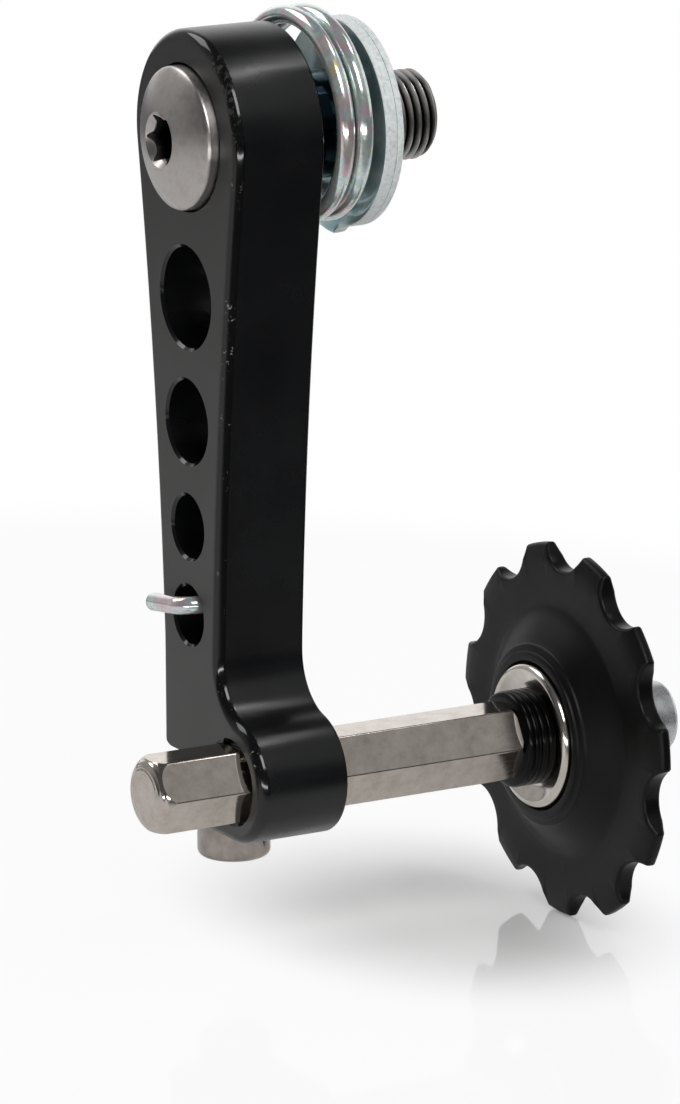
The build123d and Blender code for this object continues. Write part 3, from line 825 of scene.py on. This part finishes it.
# The tab stands out by 0.85 mm, drawn out in eight small steps, each 0.75 degrees narrower
tab_height, tab_steps, tab_half_width, tab_slope = 0.85, 8, 34.5, 0.75
swell = 1 + tab_height / tab_steps / rim
for step in range(tab_steps):
    select_in_edit_mode(
        "VERT", lambda corners: near_tab(corners[0], tab_half_width - tab_slope * step)
    )
    bpy.ops.transform.resize(value=(swell, 1, swell), center_override=(0, 0, 0))
    bpy.ops.object.mode_set(mode="OBJECT")
keep_piece(
    plate, "punched_anchor_plate", [plate_zinc, rim_zinc], "hanger_side", "anchor_plate"
)
washer = keep_piece(
    punched(plate_back_y, washer_back_y, seed=7), "punched_hanger_washer",
    [plate_zinc, rim_zinc], "hanger_side", "hanger_washer",
)
for disc in (plate, washer):
    for polygon in disc.data.polygons:
        outside = math.hypot(polygon.center.x, polygon.center.z) > 11.2 * mm
        if outside and abs(polygon.normal.y) < 0.8:
            polygon.material_index = 1

# Mast: a drawn hexagonal bar, its nose rounded and its rear end chamfered on the lathe
nose_length, nose_tip, nose_spread, nose_steps = 2.3, 2.5, 2.12, 24
past_corners, chamfer, rear_radius = 4.9, 0.68, 4.22
across_flats = 8.0
limit_rows = [(nose_tip, mast_front_y)]
for i in range(1, nose_steps + 1):
    depth = 1 - math.cos(math.radians(i * 90 / nose_steps))
    spread = nose_spread * math.sqrt(1 - (1 - depth) ** 2)
    limit_rows.append((nose_tip + spread, mast_front_y + nose_length * depth))
limit_rows += [(past_corners, mast_front_y + nose_length + 0.3)]
limit_rows += [(past_corners, mast_rear_y - chamfer), (rear_radius, mast_rear_y)]
mast = six_sided(across_flats, mast_front_y - 1, mast_rear_y + 1, eased=0.17)
combine(mast, turned(limit_rows, sides=240, bored=False), "INTERSECT")
keep_piece(mast, "drawn_mast", [mast_nickel], "mast", "mast", crease=25)

# Spacer rings, each with rolled edges; the first one has a shoulder on the mast's side
ring_count, ring_width, axle_bore = 4, 0.9, 2.55
for index in range(ring_count):
    front = mast_rear_y + index * ring_width
    if index == 0:
        rows = [(axle_bore, front), (4.8, front)] + arc(4.95, front + 0.55, 0.5, -60, 0, 6)
        rows += arc(5.25, front + 0.7, 0.2, 0, 90, 5)
    else:
        rows = [(axle_bore, front), (5.0, front)] + arc(5.2, front + 0.25, 0.25, -90, 0, 5)
        rows += arc(5.2, front + 0.65, 0.25, 0, 90, 5)
    rows += [(axle_bore, front + ring_width)]
    keep_piece(
        turned(rows), f"rolled_spacer_{index + 1}", [oxide], "mast", f"spacer_ring_{index + 1}"
    )

# Dust caps, pressed from sheet: flat land, dished flange, beaded rim
for side, land, inward in (("front", cap_land_y, 1), ("rear", rear_cap_land_y, -1)):
    rows = [(axle_bore, 0.6), (axle_bore, 0.0), (5.5, 0.0), (5.75, -0.03), (5.95, -0.12)]
    rows += [(7.1, -0.6), (7.3, -0.68), (7.45, -0.72)]
    rows += arc(7.55, -0.08, 0.65, -95, 0, 10)
    rows += [(8.2, 1.38), (8.0, 1.4), (7.65, 1.38), (7.62, 0.0), (5.7, 0.6)]
    rows = [(radius, land + inward * y) for radius, y in rows]
    keep_piece(
        turned(rows, sides=224), f"pressed_cap_{side}", [cap_nickel], "mast", f"dust_cap_{side}"
    )

# Chain wheel: moulded hub, cone and teeth with softened edges
tooth_count, tip_radius, seat_distance, seat_radius = 11, 21.46, 22.664, 4.0
wheel_phase, corner_sharpness, steps_per_tooth = math.radians(121.5), 3.2, 64
half_plate, taper_start, taper_width, taper_depth = 1.1, 19.9, 1.5, 0.5
cone_foot, edge_round = 14.6, 0.4


def tooth_reach(angle):
    """The outline's distance from the axis: roller seats, and tips with eased corners."""
    pitch = 2 * math.pi / tooth_count
    turn = (angle - wheel_phase + pitch / 2) % pitch - pitch / 2
    inside = seat_radius**2 - (seat_distance * math.sin(turn)) ** 2
    if inside <= 0:
        return tip_radius - 0.02
    seat = seat_distance * math.cos(turn) - math.sqrt(inside)
    lean = max(-40.0, min(40.0, corner_sharpness * (seat - tip_radius)))
    return tip_radius - math.log(1 + math.exp(-lean)) / corner_sharpness


wheel_steps = tooth_count * steps_per_tooth
angles = [2 * math.pi * k / wheel_steps for k in range(wheel_steps)]
outline = [
    Vector((tooth_reach(a) * math.cos(a), tooth_reach(a) * math.sin(a))) for a in angles
]
inward_ways = []
for k in range(wheel_steps):
    along = outline[(k + 1) % wheel_steps] - outline[k - 1]
    inward_ways.append(Vector((-along.y, along.x)).normalized())


def half_thickness(reach):
    """Half the plate's thickness at this distance from the axis; the teeth taper."""
    return half_plate - taper_depth * max(0.0, min(1.0, (reach - taper_start) / taper_width))


def circle_ring(radius, half):
    """A ring of the hub or the cone, this far from the wheel's middle."""
    return [(radius * math.cos(a), half, radius * math.sin(a)) for a in angles]


def inset_ring(inset, drop):
    """The tooth outline moved in along the face, and its face let down by the drop."""
    ring = []
    for point, way in zip(outline, inward_ways):
        moved = point + way * inset
        ring.append((moved.x, half_thickness(moved.length) - drop, moved.y))
    return ring


def web_ring(share):
    """Between the cone's foot and the softened edge."""
    edge = inset_ring(edge_round, 0.0)
    ring = []
    for a, (x, _, z) in zip(angles, edge):
        outer = math.hypot(x, z)
        reach = cone_foot + share * (outer - cone_foot)
        turn = math.atan2(z, x)
        ring.append((reach * math.cos(turn), half_thickness(reach), reach * math.sin(turn)))
    return ring


hub_rows = [(4.05, 3.3), (4.3, 3.55), (8.3, 3.6), (8.45, 3.75), (8.45, 4.3)]
hub_rows += [(8.55, 4.45), (9.3, 4.5), (9.45, 4.42), (9.5, 4.15), (9.6, 4.06), (10.15, 4.04)]
hub_rows += [(10.28, 3.97), (10.33, 3.7), (10.45, 3.6), (11.1, 3.2), (11.8, 2.72), (12.5, 2.22)]
hub_rows += [(13.1, 1.78), (13.6, 1.45), (13.95, 1.26), (14.25, 1.15), (cone_foot, half_plate)]
side = [circle_ring(radius, half) for radius, half in hub_rows]
side += [web_ring(share) for share in (0.25, 0.5, 0.75, 1.0)]
for degrees in (18, 36, 54, 72, 90):
    turn = math.radians(degrees)
    side.append(
        inset_ring(edge_round * (1 - math.sin(turn)), edge_round * (1 - math.cos(turn)))
    )
front = [[(mast_x + x, wheel_middle_y - y, mast_z + z) for x, y, z in ring] for ring in side]
rear = [[(mast_x + x, wheel_middle_y + y, mast_z + z) for x, y, z in ring] for ring in side]
wheel = keep_piece(
    skinned(front + rear[::-1]), "moulded_wheel", [nylon, nylon_flank], "wheel",
    "chain_wheel", crease=50,
)
# The teeth's edges came smoother out of the mould than the faces did
for polygon in wheel.data.polygons:
    off_axis = math.hypot(polygon.center.x - mast_x * mm, polygon.center.z - mast_z * mm)
    if off_axis > 17 * mm and abs(polygon.normal.y) < 0.4:
        polygon.material_index = 1


def socket_screw(head_height, rounding, socket_depth, length):
    """A turned screw along Y, its seat at the origin, with a broached hexagonal socket."""
    shank, head = 2.5, 4.1
    rows = [(2.0, -length), (shank, 0.5 - length), (shank, 0.0), (3.98, 0.0), (head, 0.15)]
    rows += arc(head - rounding, head_height - rounding, rounding, 0, 80, 8)
    rows += [(head - rounding, head_height), (2.75, head_height), (2.3, head_height - 0.4)]
    screw = turned(rows, centre=(0, 0), sides=144, bored=False)
    floor_y = head_height - socket_depth
    drill = turned(
        [(0.1, floor_y - 0.5), (1.95, floor_y + 0.05), (1.95, head_height)],
        centre=(0, 0), sides=48, bored=False,
    )
    combine(screw, drill, "DIFFERENCE")
    return combine(
        screw, six_sided(4.0, floor_y, head_height + 1, centre=(0, 0), eased=0.08), "DIFFERENCE"
    )


axle_screw = socket_screw(head_height=5.0, rounding=0.7, socket_depth=2.6, length=30.0)
axle_screw.location = Vector((mast_x, axle_seat_y, mast_z)) * mm
keep_piece(axle_screw, "turned_axle_screw", [axle_zinc], "mast", "axle_screw")
clamp_screw = socket_screw(head_height=4.4, rounding=0.8, socket_depth=2.4, length=14.0)
clamp_screw.rotation_euler = (math.radians(-90), 0, 0)
clamp_screw.location = Vector((0, clamp_screw_y, clamp_seat_z)) * mm
keep_piece(clamp_screw, "turned_clamp_screw", [screw_nickel], "arm", "clamp_screw")

# Arm: a merged copy of the CAD shape. Its flats keep their own normal right up to the rounds,
# and the rounds blend between their facets, so that both shade cleanly.
crease = 30
arm_surface = bpy.data.objects.new("arm_surface", nodes["arm"].data.copy())
bpy.context.collection.objects.link(arm_surface)
only(arm_surface)
edit_all()
bpy.ops.mesh.remove_doubles(threshold=merge_distance)
bpy.ops.object.mode_set(mode="OBJECT")
keep_piece(arm_surface, "arm_surface", [blasted, satin, burnished], "arm", "arm", crease)
mesh = arm_surface.data
around = [[] for _ in mesh.vertices]
for polygon in mesh.polygons:
    for k, index in enumerate(polygon.vertices):
        here = mesh.vertices[index].co
        ahead = mesh.vertices[polygon.vertices[(k + 1) % 3]].co - here
        behind = mesh.vertices[polygon.vertices[k - 1]].co - here
        around[index].append((polygon.normal.copy(), ahead.angle(behind, 0.0)))
near, flatness = math.cos(math.radians(crease)), 0.99999
normals = []
for polygon in mesh.polygons:
    own = polygon.normal
    for index in polygon.vertices:
        close = [(n, w) for n, w in around[index] if n.dot(own) > near]
        flat = [n for n, _ in close if abs(n.y) > flatness]
        if abs(own.y) > flatness:
            normals.append(own.copy())
        elif flat:
            normals.append(flat[0])
        else:
            normals.append(sum((n * w for n, w in close), Vector()).normalized())
mesh.normals_split_custom_set(normals)
# The flats are blasted, the walls satin, and the rounds between them burnished
for polygon in mesh.polygons:
    if abs(polygon.normal.y) < 0.05:
        polygon.material_index = 1
    elif abs(polygon.normal.y) < 0.97:
        polygon.material_index = 2

# Pale floor just under the wheel
floor_z = cad_box[0].z - 0.0001
bpy.ops.object.select_all(action="DESELECT")
bpy.ops.mesh.primitive_plane_add(size=6.0, location=(0, 0, floor_z))
floor = bpy.context.object
floor.name = "floor"
material, tree, place = new_material("pale_floor")
matt = add_node(tree, "ShaderNodeBsdfDiffuse", {"Color": linear("e6e6e6")}).outputs[0]
mirror = add_node(
    tree, "ShaderNodeBsdfGlossy", {"Color": (1, 1, 1, 1), "Roughness": 0.06}
).outputs[0]
polished = add_node(tree, "ShaderNodeMixShader", {0: 0.2, 1: matt, 2: mirror}).outputs[0]
white = add_node(tree, "ShaderNodeEmission", {"Color": (1, 1, 1, 1), "Strength": 1.0})
# Painted shade in the floor's colour, which only the object and its reflections see: bright on
# the left, dim to the right and far out on the left
rightward = add_node(
    tree, "ShaderNodeVectorMath", {0: place, 1: (1.0, 0.1, 0)}, operation="DOT_PRODUCT"
).outputs["Value"]
painted_floor_shade = add_node(
    tree,
    "ShaderNodeMapRange",
    {"Value": rightward, "From Min": 0.03, "From Max": 0.12, "To Min": 0.95, "To Max": 0.08},
    interpolation_type="SMOOTHSTEP",
).outputs["Result"]
far_left = add_node(
    tree,
    "ShaderNodeMapRange",
    {"Value": rightward, "From Min": -0.5, "From Max": -0.36, "To Min": 0.25, "To Max": 1.0},
    interpolation_type="SMOOTHSTEP",
).outputs["Result"]
painted_floor_shade = add_node(tree, "ShaderNodeMath", {0: painted_floor_shade, 1: far_left}, operation="MULTIPLY").outputs[0]
dim = add_node(tree, "ShaderNodeBsdfDiffuse", {"Color": painted_floor_shade})
# What the camera sees: the polished floor in an ellipse of 45 by 31 mm, which fades to white
from_shade = add_node(
    tree, "ShaderNodeVectorMath", {0: place, 1: (0.0, 0.01, 0.0)}, operation="SUBTRACT"
).outputs[0]
from_shade = add_node(
    tree, "ShaderNodeVectorMath", {0: from_shade, 1: (22, 32, 0)}, operation="MULTIPLY"
).outputs[0]
off_shade = add_node(
    tree, "ShaderNodeVectorMath", {0: from_shade}, operation="LENGTH"
).outputs["Value"]
far = add_node(
    tree,
    "ShaderNodeMapRange",
    {"Value": off_shade, "From Min": 0.2, "From Max": 0.95, "To Max": 0.9},
    interpolation_type="SMOOTHSTEP",
).outputs["Result"]
behind = add_node(
    tree,
    "ShaderNodeMapRange",
    {"Value": off_shade, "From Min": 1.4, "From Max": 5.0},
    interpolation_type="SMOOTHSTEP",
).outputs["Result"]
far = add_node(tree, "ShaderNodeMath", {0: far, 1: behind}, operation="MAXIMUM").outputs[0]
seen = add_node(tree, "ShaderNodeMixShader", {0: far, 1: polished, 2: white.outputs[0]})
path = add_node(tree, "ShaderNodeLightPath")
mix = add_node(
    tree,
    "ShaderNodeMixShader",
    {0: path.outputs["Is Camera Ray"], 1: dim.outputs[0], 2: seen.outputs[0]},
)
output = add_node(tree, "ShaderNodeOutputMaterial")
tree.links.new(mix.outputs[0], output.inputs["Surface"])
floor.data.materials.append(material)

# Surroundings: white to the camera, soft and directional to the object
world = bpy.data.worlds.new("studio")
scene.world = world
world.use_nodes = True
tree = world.node_tree
tree.nodes.clear()
direction = add_node(tree, "ShaderNodeTexCoord").outputs["Generated"]


def glow(towards, start, end):
    """Brightness that rises as the direction nears the given one."""
    aim = Vector(towards).normalized()
    dot = add_node(tree, "ShaderNodeVectorMath", {0: direction, 1: aim}, operation="DOT_PRODUCT")
    return add_node(
        tree,
        "ShaderNodeMapRange",
        {"Value": dot.outputs["Value"], "From Min": start, "From Max": end},
        interpolation_type="SMOOTHSTEP",
    ).outputs["Result"]


# Wide soft lights: from behind on the left, from behind, from the left, and from high up behind
lobes_of_light = [
    (glow((-0.87, 0.49, 0.15), 0.72, 0.97), 0.85),
    (glow((0.0, 1.0, 0.1), 0.8, 0.95), 0.9),
    (glow((-0.95, -0.3, 0.1), 0.35, 0.95), 0.3),
    (glow((0.55, 0.45, 0.7), 0.85, 0.98), 0.3),
]
# The light from everywhere else
level = 0.1
for lobe, strength in lobes_of_light:
    level = add_node(
        tree, "ShaderNodeMath", {0: lobe, 1: strength, 2: level}, operation="MULTIPLY_ADD"
    ).outputs[0]
path = add_node(tree, "ShaderNodeLightPath")
shade = add_node(
    tree, "ShaderNodeBackground", {"Color": (1, 1, 1, 1), "Strength": level}
)
plain = add_node(tree, "ShaderNodeBackground", {"Color": (1, 1, 1, 1), "Strength": 1.0})
mix = add_node(
    tree,
    "ShaderNodeMixShader",
    {0: path.outputs["Is Camera Ray"], 1: shade.outputs[0], 2: plain.outputs[0]},
)
output = add_node(tree, "ShaderNodeOutputWorld")
tree.links.new(mix.outputs[0], output.inputs["Surface"])


def lamp(name, towards, distance, size, power, target=(0.005, -0.01, -0.04)):
    """A soft lamp that looks at the object, square or with a width and height. Metres, watts."""
    data = bpy.data.lights.new(name, "AREA")
    if isinstance(size, tuple):
        data.shape = "RECTANGLE"
        data.size, data.size_y = size
    else:
        data.size = size
    data.energy = power
    made = bpy.data.objects.new(name, data)
    aim = Vector(towards).normalized()
    made.location = Vector(target) + aim * distance
    made.rotation_euler = aim.to_track_quat("Z", "Y").to_euler()
    made.visible_camera = False
    bpy.context.collection.objects.link(made)


lamp("overhead_lamp", (0.22, 0.4, 0.87), 0.3, 0.045, 0.065, target=(0.004, -0.012, 0.0))
lamp("boss_lamp", (0.0, 0.44, 0.89), 0.25, 0.05, 0.014, target=(0.015, -0.018, -0.065))
lamp("left_lamp", (-0.6, -0.3, 0.75), 0.8, 0.4, 1.45)
lamp("right_lamp", (0.72, -0.1, 0.68), 0.8, 0.35, 2.7)
lamp("low_lamp", (0.85, -0.48, -0.235), 0.3, (0.36, 0.02), 0.26, target=(0.0, -0.02, 0.0))
